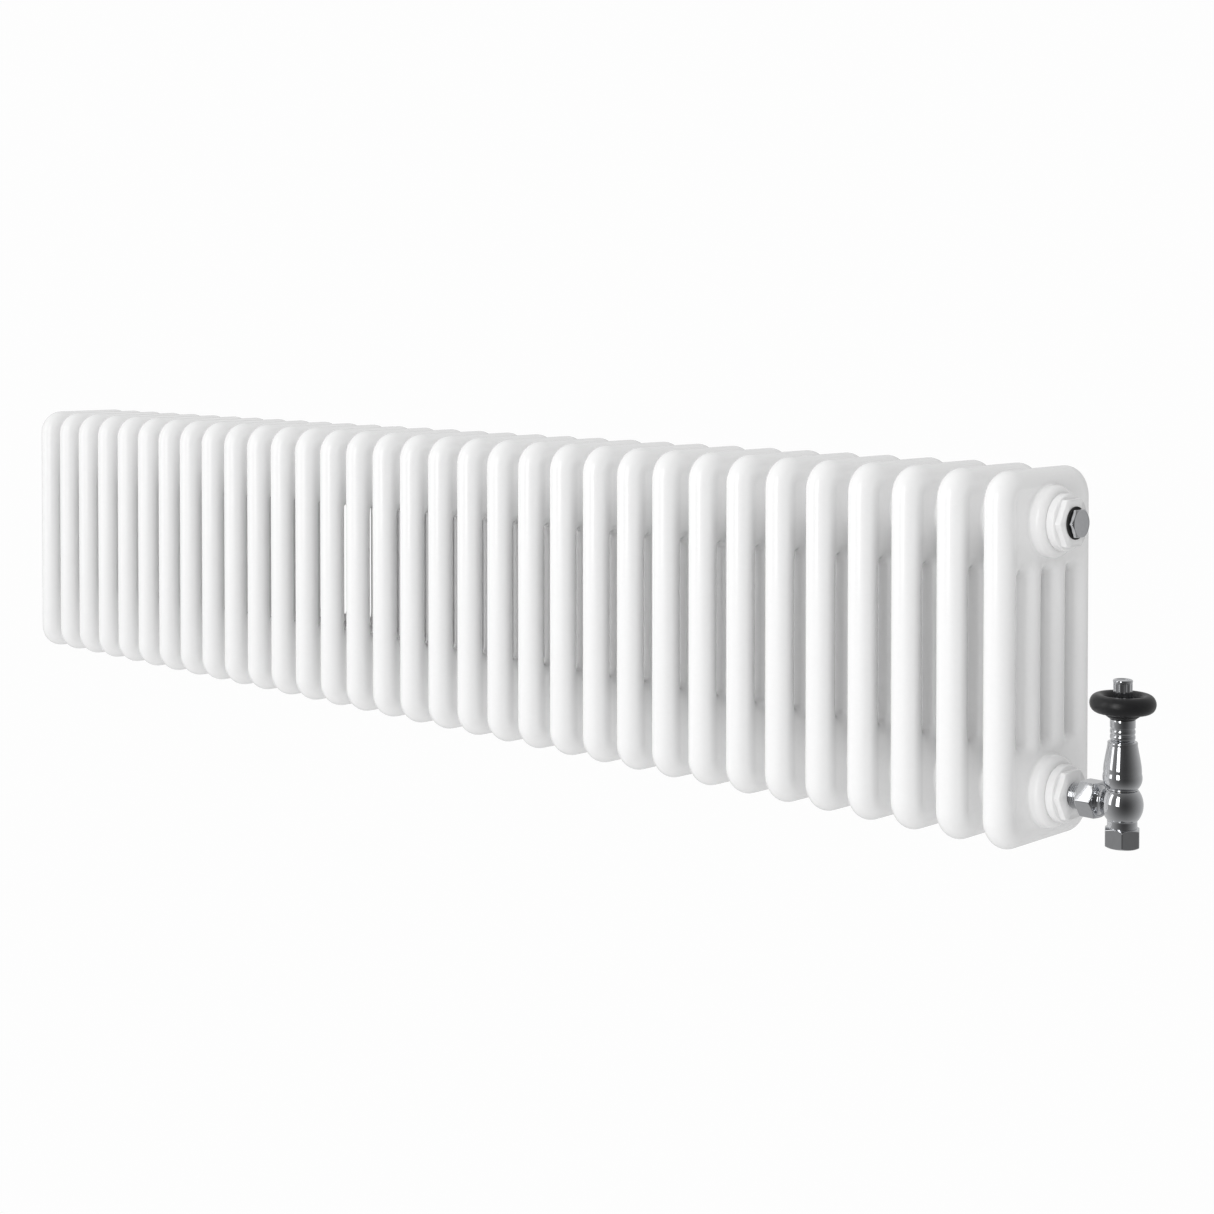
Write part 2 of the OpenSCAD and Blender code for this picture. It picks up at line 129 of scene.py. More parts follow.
def weld(points, faces, step=0.002):
    """Merges points that round to the same place, and drops faces that close up."""
    key = np.round((points + 0.00037) / step).astype(np.int64)
    _, first, where = np.unique(key, axis=0, return_index=True, return_inverse=True)
    faces = where.reshape(-1)[faces]
    same = (faces == np.roll(faces, -1, axis=1)).sum(1)
    return points[first], faces[same < 2]


def make_piece(name, points, faces, body, slot, replaces):
    """Puts a grid of quads into a mesh; a quad with two equal corners becomes a triangle."""
    same = faces == np.roll(faces, -1, axis=1)
    short = same.any(1)
    quads, rest, keep = faces[~short], faces[short], ~same[short]
    single = keep.sum(1) == 3
    triangles = rest[single][keep[single]].reshape(-1, 3)
    corners = np.concatenate([quads.ravel(), triangles.ravel()])
    starts = np.concatenate([np.arange(len(quads)) * 4,
                             len(quads) * 4 + np.arange(len(triangles)) * 3])
    mesh = bpy.data.meshes.new(name)
    mesh.vertices.add(len(points))
    mesh.vertices.foreach_set("co", (points * MM).astype(np.float32).ravel())
    mesh.loops.add(len(corners))
    mesh.loops.foreach_set("vertex_index", corners.astype(np.int32))
    mesh.polygons.add(len(starts))
    mesh.polygons.foreach_set("loop_start", starts.astype(np.int32))
    mesh.update(calc_edges=True)
    mesh.validate()
    mesh.polygons.foreach_set("use_smooth", np.ones(len(mesh.polygons), bool))
    piece = bpy.data.objects.new(name, mesh)
    bpy.context.scene.collection.objects.link(piece)
    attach(piece, body)
    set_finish(piece, slot)
    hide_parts(*replaces)
    return piece


def smooth_step(value, low_end, high_end):
    """0 below low_end, 1 above high_end, and an S-shaped curve between them."""
    t = np.clip((value - low_end) / (high_end - low_end), 0, 1)
    return t * t * (3 - 2 * t)


def soft_max(a, b, blend):
    """The larger of two heights, with a fillet where they are closer than blend."""
    q = np.maximum(blend - np.abs(a - b), 0) / np.maximum(blend, 1e-9)
    return np.maximum(a, b) + blend * q * q / 4


print("helpers ready")

# %% [markdown]
# ## The shape of a section
# Seen from the end, a section is a rounded frame with slots in it. Its surface never folds over
# itself, so its thickness can be written as one height above the middle plane: round bars round
# the outside, round tongues where the inner tubes run into the header, and a flat pressed web. The
# heights are joined with a soft maximum, which gives the same small fillets that pressing, welding
# and a thick coat of paint leave.

# %% Height of a section above its middle plane
TUBE_R = 12.5
TUBE_PITCH = 35.0
HALF_DEPTH = float(section_size[1]) / 2
HALF_HEIGHT = float(section_size[2]) / 2
CORNER_R = 26.0
SLOT_R = TUBE_PITCH / 2 - TUBE_R
SLOT_END = HALF_HEIGHT - 82
WEB_T = 10.8
HUB_Z = HALF_HEIGHT - 42
HUB_R = 29.3
HUB_FACE = 22.5
HUB_ROLL = 6.0
HUB_FOOT = 1.8
HUB_BORE = 20.9
WELD_FILLET = 2.5
bend_y, bend_z = HALF_DEPTH - CORNER_R, HALF_HEIGHT - CORNER_R
bend_r = CORNER_R - TUBE_R


def rim_distance(y, z):
    """How far a point lies outside the rim's centreline: a straight bar, a bend and a bar."""
    a, b = y - bend_y, z - bend_z
    outside = np.hypot(np.maximum(a, 0), np.maximum(b, 0))
    return outside + np.minimum(np.maximum(a, b), 0) - bend_r


def section_height(y, z):
    """Half thickness of a section: the soft maximum of rim, inner tube and web."""
    out = rim_distance(y, z)
    rim = np.sqrt(np.maximum(TUBE_R ** 2 - out ** 2, 0))
    past = np.maximum(z - SLOT_END - 1.5, 0)
    tube = np.sqrt(np.maximum(TUBE_R ** 2 - (y - TUBE_PITCH / 2) ** 2 - past ** 2, 0))
    slot_z = np.maximum(z - SLOT_END + SLOT_R, 0)
    edge = np.minimum(np.hypot(y, slot_z), np.hypot(y - TUBE_PITCH, slot_z)) - SLOT_R
    edge = np.clip(edge, 0, WEB_T)
    web = np.sqrt(np.maximum(WEB_T ** 2 - (WEB_T - edge) ** 2, 0))
    web = web - 6 * (1 - smooth_step(z, SLOT_END - 18, SLOT_END - 2))
    web = web - 0.8 * smooth_step(out, -6, 0)
    web = np.where(out > 0, np.minimum(web, rim - 2.5), web)
    blend = WELD_FILLET * np.clip(np.minimum(tube, web) / 8, 0, 1)
    inner = soft_max(tube, web, blend)
    blend = WELD_FILLET * np.clip(np.minimum(rim, inner) / 8, 0, 1)
    return soft_max(rim, inner, blend)


print("half thickness of the web", round(float(section_height(20.0, 85.0)), 2))
print("beside the hub", round(float(section_height(0.0, HUB_Z - HUB_R)), 2))
print("at a tube's crown", round(float(section_height(HALF_DEPTH - TUBE_R, 0.0)), 2))

# %% [markdown]
# ## Gridding one eighth
# A section is the same left and right, front and back, and top and bottom, so only one eighth is
# worked out. Its grid lines follow the real edges: the slots' rounded ends, the outer edge and the
# bend. Lines crowd together where the surface turns away at an edge, because a round edge cut
# into equal steps across would look faceted there.

# %% The header and tubes of one eighth
def crowded(count):
    """Steps from -1 to 1 that crowd together at both ends, as the sine of equal angles."""
    return np.sin(np.linspace(-math.pi / 2, math.pi / 2, count))


def eighth_rows():
    """Heights of the grid's rows: the plain tube, the slot's rounded end, the web's edge, the header."""
    plain = np.array([0, 40, SLOT_END - 18, SLOT_END - 13, SLOT_END - 9, SLOT_END - SLOT_R])
    turn = SLOT_END - SLOT_R + SLOT_R * np.sin(np.linspace(0, math.pi / 2, 8)[1:])
    edge = SLOT_END + WEB_T * (1 - np.cos(np.linspace(0, math.pi / 2, 8)[1:]))
    header = np.linspace(edge[-1], bend_z, 17)[1:]
    return np.concatenate([plain, turn, edge, header])


def eighth_surface():
    """Four sheets of one eighth, each point lifted to section_height, with the outer edges at zero."""
    z = eighth_rows()
    rise = np.clip(z - SLOT_END + SLOT_R, 0, SLOT_R)
    half_gap = np.where(z > SLOT_END, 0, np.sqrt(np.maximum(SLOT_R ** 2 - rise ** 2, 0)))
    shared = TUBE_PITCH + (bend_y - TUBE_PITCH) * smooth_step(z, SLOT_END, bend_z)
    left, right = half_gap, shared - half_gap
    across, over = crowded(23), crowded(19)
    y1 = left[:, None] + (right - left)[:, None] * (1 + across) / 2
    tube_y = HALF_DEPTH - TUBE_R
    inner = tube_y - (shared + half_gap)
    y2 = tube_y + np.where(over < 0, inner[:, None] * over, TUBE_R * over)
    open_rows = (z <= SLOT_END + 1e-6)[:, None]
    x1, x2 = section_height(y1, z[:, None]), section_height(y2, z[:, None])
    x1[:, [0, -1]] = np.where(open_rows, 0, x1[:, [0, -1]])
    x2[:, [0]] = np.where(open_rows, 0, x2[:, [0]])
    x2[:, -1] = 0
    reach = y2[-1] - bend_y
    turn = np.linspace(0, math.pi / 2, 15)[:, None]
    y3, z3 = bend_y + reach * np.cos(turn), bend_z + reach * np.sin(turn)
    y4, z4 = y1[-1] + 0 * reach[:, None], bend_z + reach[:, None] + 0 * y1[-1]
    x3, x4 = section_height(y3, z3), section_height(y4, z4)
    x3[:, -1], x4[-1] = 0, 0
    flat_z = z[:, None]
    return [(x1, y1, flat_z + 0 * y1), (x2, y2, flat_z + 0 * y2), (x3, y3, z3), (x4, y4, z4)]


sheets = eighth_surface()
print("sheets", [s[0].shape for s in sheets])

# %% [markdown]
# ## The hub dome
# The dome is a pressed bulge round the hub. It is turned about the hub's axis, but its foot has to
# follow the header below it, which isn't flat. So the foot's rows take their height from the
# header's own rule, and the roll and the face above them are a plain profile. Its outermost row
# dips just under the header, which hides the join.

# %% The hub dome of one eighth
def dome_surface():
    """Half a dome: a concave foot on the header, a rolled shoulder and a flat ring face."""
    turn = np.linspace(-math.pi / 2, math.pi / 2, 41)[None, :]
    foot = np.linspace(0, math.pi / 2, 7)[:, None]
    roll = np.linspace(0, math.pi / 2, 9)[:, None]
    foot_r = HUB_R + HUB_FOOT * (1 - np.sin(foot)) + 0 * turn
    header = section_height(foot_r * np.cos(turn), HUB_Z + foot_r * np.sin(turn))
    foot_x = header + HUB_FOOT * (1 - np.cos(foot)) - 0.04 * (foot == 0)
    roll_r = HUB_R - HUB_ROLL + HUB_ROLL * np.cos(roll) + 0 * turn
    roll_x = HUB_FACE - HUB_ROLL + HUB_ROLL * np.sin(roll) + 0 * turn
    ring_r = np.array([[HUB_BORE + 0.4], [HUB_BORE], [HUB_BORE]]) + 0 * turn
    ring_x = np.array([[HUB_FACE], [HUB_FACE - 0.3], [4.0]]) + 0 * turn
    r, x = np.vstack([foot_r, roll_r, ring_r]), np.vstack([foot_x, roll_x, ring_x])
    return x, r * np.cos(turn), HUB_Z + r * np.sin(turn)


def whole_section():
    """All eight eighths, mirrored through the middle planes; a mirrored face is turned back."""
    points, faces, start = [], [], 0
    for x, y, z in sheets + [dome_surface()]:
        points.append(np.stack([x, y, z], -1).reshape(-1, 3))
        faces.append(grid_faces(*x.shape, start))
        start += x.size
    points, faces = np.concatenate(points), np.concatenate(faces)
    all_points, all_faces = [], []
    for n in range(8):
        sign = np.array([1 - 2 * (n & 1), 1 - (n & 2), 1 - (n & 4) / 2])
        all_points.append(points * sign)
        all_faces.append((faces if sign.prod() > 0 else faces[:, ::-1]) + n * len(points))
    return weld(np.concatenate(all_points), np.concatenate(all_faces))


section_points, section_faces = whole_section()
print("one section:", len(section_points), "points", len(section_faces), "quads")

# %% The row of sections
section_pieces = []
for name, x in zip(section_names, section_x):
    place = np.array([x, mid_y, mid_z])
    section_pieces.append(make_piece(name + "_skin", section_points + place, section_faces,
                                     "radiator", "white_enamel", [name]))
print(len(section_pieces), "sections placed")

# %% [markdown]
# ## Turned pieces
# Nearly everything on the valve comes off a lathe, and the nuts are hexagon bar with turned ends.
# Both are the same kind of grid: rows down the profile and columns round the axis. A hexagon only
# limits how far out a row may reach, and where the turned chamfer meets it, the curved edge seen on
# a real nut appears by itself. The limits are joined softly, so no edge is knife sharp.

# %% Profiles and turned pieces
def rounded(corners, steps=5):
    """A profile of (radius, height, fillet radius) corners, with each fillet drawn as an arc."""
    p = np.array(corners, float)
    out = []
    for i in range(len(p)):
        here, fillet = p[i, :2], p[i, 2]
        if fillet == 0 or i in (0, len(p) - 1):
            out.append(here)
            continue
        a, b = p[i - 1, :2] - here, p[i + 1, :2] - here
        a, b = a / np.linalg.norm(a), b / np.linalg.norm(b)
        half = math.acos(np.clip(a @ b, -1, 1)) / 2
        cut = fillet / math.tan(half)
        centre = here + (a + b) / np.linalg.norm(a + b) * fillet / math.sin(half)
        u, v = here + a * cut - centre, here + b * cut - centre
        sweep = math.atan2(u[0] * v[1] - u[1] * v[0], u @ v)
        for t in np.linspace(0, sweep, steps + 1):
            c, s = math.cos(t), math.sin(t)
            out.append(centre + np.array([c * u[0] - s * u[1], s * u[0] + c * u[1]]))
    return np.array(out)


HEX_OFFSETS = np.array([0, 0.5, 1, 1.6, 2.4, 3.6, 6, 10, 15, 20, 25])
hex_turns = np.concatenate([60 * k + np.concatenate([-HEX_OFFSETS[:0:-1], HEX_OFFSETS, [30]])
                            for k in range(6)])


def hexagon(turn, across_flats):
    """Radius of a hexagon with corners at 0, 60, 120 degrees, its corners softened by a high power."""
    total = sum(np.abs(np.cos(turn - math.radians(30 + 60 * k))) ** 70.0 for k in range(3))
    return across_flats / 2 * total ** (-1 / 70.0)


def frame_along(axis):
    """Two directions square to an axis, for going round it."""
    return {"+z": ((1, 0, 0), (0, 1, 0), (0, 0, 1)),
            "+x": ((0, 1, 0), (0, 0, 1), (1, 0, 0)),
            "-x": ((0, 1, 0), (0, 0, -1), (-1, 0, 0))}[axis]


def turned(profile, axis, at, across_flats=None, hex_rows=None, turns=96, shape=None):
    """Carries a profile round an axis: point = at + r (cos t, sin t) + h along the axis."""
    t = np.radians(hex_turns) if across_flats else np.linspace(0, 2 * math.pi, turns, endpoint=False)
    r, h = profile[:, :1] + 0 * t, profile[:, 1:2] + 0 * t
    if across_flats:
        limit = hexagon(t, across_flats) + 0 * r
        soft = (np.maximum(r, 1e-3) ** -90.0 + limit ** -90.0) ** (-1 / 90.0)
        rows = np.ones(len(profile), bool) if hex_rows is None else hex_rows
        r = np.where(rows[:, None], np.where(r < 1e-3, 0, soft), r)
    if shape is not None:
        r, h = shape(r, h, t)
    u, v, w = (np.array(d, float) for d in frame_along(axis))
    points = np.array(at, float) + (r * np.cos(t))[..., None] * u \
        + (r * np.sin(t))[..., None] * v + h[..., None] * w
    return weld(points.reshape(-1, 3), grid_faces(*r.shape, wrap=True))


def joined(*parts):
    """Several (points, faces) pairs as one."""
    points, faces, start = [], [], 0
    for p, f in parts:
        points.append(p)
        faces.append(f + start)
        start += len(p)
    return np.concatenate(points), np.concatenate(faces)


def chamfered(af, low_h, high_h, low_cut, high_cut, bore, flat, inner, low_flat=None):
    """Profile of a nut: flat faces out to the chamfer, a steep cone, then past the hexagon's corners.

    low_flat, where it is given, moves the low end's flat face to that far inside the hexagon's flats.
    """
    corner = af / math.sqrt(3) + 0.6
    face = af / 2 - flat
    low_face = face if low_flat is None else af / 2 - low_flat
    slope = np.linspace(0, 1, 9)
    low_cone = np.stack([low_face + (corner - low_face) * slope, low_h + low_cut * slope], 1)
    high_cone = np.stack([corner - (corner - face) * slope, high_h - high_cut * (1 - slope)], 1)
    return np.vstack([[[bore, low_h]], low_cone, high_cone, [[bore + 0.3, high_h]], inner])


print("a hexagon of 27.6 across flats reaches", round(float(hexagon(0.0, 27.6)), 2), "at its corners")

# %% [markdown]
# ## Reducing bushes
# A bush closes each end hub down to a small tapping. It is a round flange that squeezes a gasket,
# and a hexagon for the spanner, all under the same paint as the radiator. The paint runs over the
# gasket's edge too, so only a narrow groove shows there. The flange and the hexagon are one
# profile: only the hexagon's rows are limited by it.

# %% Bushes
FLANGE_R, FLANGE_T, BUSH_T, BUSH_AF = 23.0, 6.7, 11.7, 37.6
GASKET_T, SKIRT_R = 0.8, 22.3
TAPPING_R = 9.3


def bush_shape():
    """Rolled flange first, then the hexagon with a turned chamfer, then back down the tapping."""
    skirt_low = 0.04 - GASKET_T
    flange = rounded([(20.5, -3, 0), (20.5, skirt_low, 0), (SKIRT_R, skirt_low, 0.2),
                      (SKIRT_R, 0.1, 0.1), (FLANGE_R, 0.1, 0.3), (FLANGE_R, FLANGE_T, 1.3),
                      (FLANGE_R - 1.3, FLANGE_T, 0)])
    corner = BUSH_AF / math.sqrt(3)
    slope = np.linspace(0, 1, 9)
    foot = np.array([[corner - 0.2, FLANGE_T], [corner - 0.4, FLANGE_T + 0.25], [corner, FLANGE_T + 0.8],
                     [corner + 0.4, FLANGE_T + 1.4]])
    cone = np.stack([corner + 0.4 - 1.9 * slope, BUSH_T - 1.6 * (1 - slope)], 1)
    face = rounded([(corner - 1.5, BUSH_T, 0), (TAPPING_R + 0.6, BUSH_T, 0.1),
                    (TAPPING_R, BUSH_T - 0.6, 0.1), (TAPPING_R, -3, 0)])
    rows = np.concatenate([np.zeros(len(flange), bool), np.ones(len(foot) + len(cone) + len(face), bool)])
    return np.vstack([flange, foot, cone, face]), rows


bush_profile, bush_rows = bush_shape()
end_x = max(section_x)
bush_pieces = []
for node in ("bush_top_right", "bush_bottom_right", "bush_top_left", "bush_bottom_left"):
    side = 1 if node.endswith("right") else -1
    z = 0.0 if "top" in node else lower_hub_z
    at = (side * (end_x + HUB_FACE + GASKET_T), mid_y, z)
    points, faces = turned(bush_profile, "+x" if side > 0 else "-x", at, BUSH_AF, bush_rows)
    bush_pieces.append(make_piece(node + "_skin", points, faces, "radiator", "white_enamel", [node]))
print(len(bush_pieces), "bushes")

# %% [markdown]
# ## Plugs, seals and the bleed screw
# The upper tappings are closed: a chrome plug on a thick black ring at the right, and a vent plug
# with a small square-headed bleed screw at the left, where the last air gathers.

# %% Plugs and seals
bush_face = end_x + HUB_FACE + GASKET_T + BUSH_T
PLUG_AF, PLUG_H, SEAL_T, SEAL_R = 22.0, 4.5, 1.8, 13.2
PLUG_REACH = 13.2
PLUG_FACE_R = PLUG_REACH - 2.2
seal_profile = rounded([(TAPPING_R, 0.02, 0), (SEAL_R, 0.02, 0.75), (SEAL_R, SEAL_T - 0.02, 0.75),
                        (TAPPING_R, SEAL_T - 0.02, 0), (TAPPING_R, 0.02, 0)])
seals = joined(*(turned(seal_profile, axis, (side * bush_face, mid_y, 0))
                 for axis, side in (("+x", 1), ("-x", -1))))
make_piece("plug_rings", *seals, "radiator", "black_rubber", ["plug_o_rings"])
plug_low, plug_high = SEAL_T, SEAL_T + PLUG_H
slope = np.linspace(0, 1, 10)
plug_head = np.vstack([
    [[0, -4], [TAPPING_R - 0.1, -4], [TAPPING_R - 0.1, plug_low]],
    [[PLUG_AF / 2, plug_low], [PLUG_REACH, plug_low + 0.35], [PLUG_REACH, plug_low + 2.2]],
    np.stack([PLUG_REACH - (PLUG_REACH - PLUG_FACE_R) * slope, plug_high - 1.5 * (1 - slope)], 1)])
plug_top = rounded([(PLUG_FACE_R, plug_high, 0), (10.5, plug_high, 0.2),
                    (10.2, plug_high - 0.12, 0.2), (0, plug_high - 0.12, 0)])
points, faces = turned(np.vstack([plug_head, plug_top]), "+x", (bush_face, mid_y, 0), PLUG_AF)
make_piece("blank_plug_skin", points, faces, "radiator", "chrome", ["blank_plug"])
vent_top = rounded([(PLUG_FACE_R, plug_high, 0), (9.4, plug_high, 0), (4.7, plug_high, 0.3),
                    (4.15, plug_high - 0.5, 0.1), (4.15, -3.2, 0.1), (0, -3.2, 0)])
SQUARE_AF, SHOULDER_H = 5.0, 2.4
points, faces = turned(np.vstack([plug_head, vent_top]), "-x", (-bush_face, mid_y, 0), PLUG_AF)
make_piece("vent_plug_skin", points, faces, "radiator", "chrome", ["vent_plug"])


def squared(r, h, t):
    """Rows above the screw's shoulder are limited to a square with softened corners."""
    limit = SQUARE_AF / 2 * (np.abs(np.cos(t)) ** 24 + np.abs(np.sin(t)) ** 24) ** (-1 / 24) + 0 * r
    return np.where((h > SHOULDER_H + 0.05) & (r > 0.5), np.minimum(r, limit), r), h


screw_profile = rounded([(0, -3.0, 0), (3.95, -3.0, 0.3), (3.95, SHOULDER_H, 0.4), (3.3, SHOULDER_H, 0.1),
                         (3.4, 2.6, 0), (3.4, 5.7, 0.3), (2.2, 6.15, 0.2), (0, 6.15, 0)])
points, faces = turned(screw_profile, "-x", (-bush_face, mid_y, 0), shape=squared)
make_piece("bleed_screw_skin", points, faces, "bleed", "chrome", ["bleed_screw"])
print("plug face at x", round(bush_face + plug_high, 2))

# %% [markdown]
# ## The union
# The valve is held by a union: a tail screwed into the bush, with a few turns of thread left
# showing, and a nut that draws the valve's spigot against the tail. The nut's far end is chamfered
# and open, so the shoulder inside it shows.

# %% Tail and union nut
TAIL_R, THREAD_R = 9.6, 10.4
NUT_AF, NUT_LOW, NUT_HIGH, NUT_MOUTH_R = 27.6, 10.0, 24.4, 12.7
ring = np.array([[TAIL_R, 0.05], [TAIL_R + 0.12, 0.2], [THREAD_R - 0.1, 0.46], [THREAD_R, 0.58],
                 [THREAD_R - 0.1, 0.70], [TAIL_R + 0.12, 0.96], [TAIL_R, 1.11]])
rings = np.vstack([ring + [0, 0.3 + 1.4 * k] for k in range(4)])
tail_profile = np.vstack([[[6.0, -6], [TAIL_R - 0.4, -6], [TAIL_R - 0.4, 0.1], [TAIL_R, 0.2]], rings,
                          [[TAIL_R, 6.2], [TAIL_R, 13.4], [11.7, 13.4], [11.7, 15.9], [6, 15.9], [6, -6]]])
points, faces = turned(tail_profile, "+x", (bush_face, mid_y, lower_hub_z))
make_piece("valve_tail_skin", points, faces, "radiator", "chrome", ["valve_tail"])
nut_inside = [[12.4, NUT_HIGH - 0.3], [12.1, NUT_HIGH - 0.7], [12.1, 13.4], [9.75, 13.4],
              [9.75, NUT_LOW + 0.4], [10.1, NUT_LOW]]
nut_profile = chamfered(NUT_AF, NUT_LOW, NUT_HIGH, 0.9, 2.2, 10.1, 0.2, nut_inside, low_flat=-1.3)
nut_profile[-len(nut_inside) - 1] = [NUT_MOUTH_R, NUT_HIGH]
points, faces = turned(nut_profile, "+x", (bush_face, mid_y, lower_hub_z), NUT_AF)
make_piece("union_nut_skin", points, faces, "radiator", "chrome", ["union_nut"])
print("nut from x", bush_face + NUT_LOW, "to", bush_face + NUT_HIGH)

# %% [markdown]
# ## The valve body
# The body is a turned barrel with a neck above and below, and a side spigot. A lathe can't cut a
# spigot on the barrel's side, so on the real thing it is part of the forging and meets the barrel
# in a small fillet. The spigot is its own sheet here: every point along its last row is pushed out
# to the barrel's own radius, and the rows before it flare to make the fillet.

# %% Body and spigot
BARREL_ARC, BARREL_R = 19.3, 16.1
NECK_R, COLLAR_R, SCREW_R, PIPE_R = 11.5, 12.2, 9.6, 7.6
SPIGOT_R, SPIGOT_FILLET = 8.85, 1.5
collar_h = math.sqrt(BARREL_ARC ** 2 - (BARREL_ARC - BARREL_R + COLLAR_R) ** 2)
barrel_low = -math.sqrt(BARREL_ARC ** 2 - (BARREL_ARC - BARREL_R + NECK_R) ** 2)
arc = np.linspace(math.asin(barrel_low / BARREL_ARC), math.asin(collar_h / BARREL_ARC), 34)
barrel = np.stack([BARREL_R - BARREL_ARC + BARREL_ARC * np.cos(arc), BARREL_ARC * np.sin(arc)], 1)
below = rounded([(PIPE_R, -26.2, 0), (SCREW_R, -26.2, 0.3), (SCREW_R, -18.4, 0), (NECK_R, -18.4, 0.4),
                 (NECK_R, barrel_low - 0.45, 0.4)])
above = rounded([(COLLAR_R, collar_h - 0.02, 0), (8.9, collar_h - 0.02, 0), (8.6, collar_h - 0.3, 0),
                 (8.6, -3, 0), (5.2, -3, 0), (5.2, -14.5, 0), (PIPE_R, -14.5, 0), (PIPE_R, -26.2, 0)])
valve_at = (valve_x, mid_y, lower_hub_z)
body_parts = turned(np.vstack([below, barrel, above]), "+z", valve_at, turns=128)


def spigot_surface():
    """A tube from the nut to the barrel: radius r(s), and x runs on to where that radius meets it."""
    t = np.linspace(0, 2 * math.pi, 96, endpoint=False)
    start = NUT_HIGH - 3.0
    lengths = np.array([0, 2.5, 2.6, 3.2, 4.2, 5.4])
    radii = np.array([12.0, 12.0, 11.8, 11.1, 9.3, SPIGOT_R])
    bend = np.linspace(0, math.pi / 2, 7)
    r = np.concatenate([radii, SPIGOT_R + SPIGOT_FILLET * (1 - np.cos(bend))])[:, None] + 0 * t
    z = r * np.sin(t)
    barrel_r = BARREL_R - BARREL_ARC + np.sqrt(BARREL_ARC ** 2 - z ** 2)
    meet = valve_x - bush_face - np.sqrt(barrel_r ** 2 - (r * np.cos(t)) ** 2)
    x = np.empty_like(r)
    plain = len(lengths)
    x[:plain] = start + lengths[:, None]
    back = SPIGOT_FILLET * (1 - np.sin(bend))[:, None]
    x[plain:] = meet[plain:] - back + 0.05
    u, v, w = (np.array(d, float) for d in frame_along("+x"))
    points = np.array((bush_face, mid_y, lower_hub_z)) + (r * np.cos(t))[..., None] * u \
        + (r * np.sin(t))[..., None] * v + x[..., None] * w
    return points.reshape(-1, 3), grid_faces(*r.shape, wrap=True)


points, faces = joined(body_parts, spigot_surface())
make_piece("valve_body_skin", points, faces, "radiator", "chrome", ["valve_body"])
print("barrel from", round(barrel_low, 2), "to", round(collar_h, 2))

# %% [markdown]
# ## The pipe nut
# Below the body hangs the compression nut for the pipe, hexagon bar again, chamfered at both ends.

# %% Pipe nut
PIPE_NUT_AF, PIPE_NUT_TOP, PIPE_NUT_LOW = 26.0, -18.2, -33.2
inside = [[10.0, PIPE_NUT_TOP - 0.3], [9.7, PIPE_NUT_TOP - 0.6], [9.7, PIPE_NUT_LOW + 3],
          [PIPE_R, PIPE_NUT_LOW + 3], [PIPE_R, PIPE_NUT_LOW + 0.5], [PIPE_R + 0.5, PIPE_NUT_LOW]]
profile = chamfered(PIPE_NUT_AF, PIPE_NUT_LOW, PIPE_NUT_TOP, 1.7, 1.7, PIPE_R + 0.5, 0.3, inside)
points, faces = turned(profile, "+z", valve_at, PIPE_NUT_AF)
make_piece("inlet_nut_skin", points, faces, "radiator", "chrome", ["inlet_nut"])
print("pipe nut", PIPE_NUT_LOW, "to", PIPE_NUT_TOP)

# %% [markdown]
# ## Bonnet and neck sleeve
# The bonnet is a small vase: a swelling over the body, a long taper and a rolled rim. The sleeve
# above it carries two beads with narrow grooves between them. Both are bored out for the sensor.

# %% Bonnet and sleeve
VASE_H, VASE_BORE = 37.6, 8.9
SWELL_ARC, SWELL_OUT, SWELL_H = 12, 3.2, 9.4
vase_low = collar_h
swell = np.linspace(math.asin(-8.6 / SWELL_ARC), math.asin(3.5 / SWELL_ARC), 14)
vase = np.vstack([
    rounded([(VASE_BORE, 0.02, 0), (11.75, 0.02, 0.2), (11.75, 0.8, 0)]),
    np.stack([SWELL_OUT + SWELL_ARC * np.cos(swell), SWELL_H + SWELL_ARC * np.sin(swell)], 1),
    rounded([(14.72, 14.6, 0), (14.45, 18.5, 0), (13.5, 24.4, 0), (12.3, 30.6, 0), (11.55, 34.6, 1.0),
             (11.55, VASE_H, 1.1), (VASE_BORE, VASE_H, 0.2), (VASE_BORE, 0.02, 0)])])
points, faces = turned(vase, "+z", (valve_x, mid_y, lower_hub_z + vase_low), turns=128)
make_piece("bonnet_skin", points, faces, "radiator", "chrome", ["bonnet"])
sleeve_low = vase_low + VASE_H
SLEEVE_R, SLEEVE_H, STEM_R, GROOVE_R = 9.75, 17.4, 4.28, 9.05


def bead(middle, half, crown):
    """Half an ellipse that bulges out from the groove's radius to the crown."""
    a = np.linspace(-math.pi / 2, math.pi / 2, 11)
    return np.stack([GROOVE_R + (crown - GROOVE_R) * np.cos(a), middle + half * np.sin(a)], 1)


sleeve = np.vstack([
    [[STEM_R, -2], [8.85, -2], [8.85, 0.02], [GROOVE_R, 0.3]],
    bead(3.35, 2.0, SLEEVE_R), bead(7.75, 1.95, SLEEVE_R),
    rounded([(GROOVE_R, 9.75, 0), (GROOVE_R, 10.6, 0.2), (SLEEVE_R, 10.75, 0.3),
             (SLEEVE_R, SLEEVE_H, 0.4), (STEM_R, SLEEVE_H, 0), (STEM_R, -2, 0)])])
points, faces = turned(sleeve, "+z", (valve_x, mid_y, lower_hub_z + sleeve_low))
make_piece("neck_sleeve_skin", points, faces, "radiator", "chrome", ["neck_sleeve"])
print("sleeve from", round(sleeve_low, 2), "to", round(sleeve_low + SLEEVE_H, 2))

# %% [markdown]
# ## The wheel
# The wheel is one black moulding: a fat round rim, a dished middle and a tapered collar below. A
# chrome flange lies in the dish, and the fluted cap stands on it. The flutes are a wave in the
# cap's radius that fades out below its rolled rim.

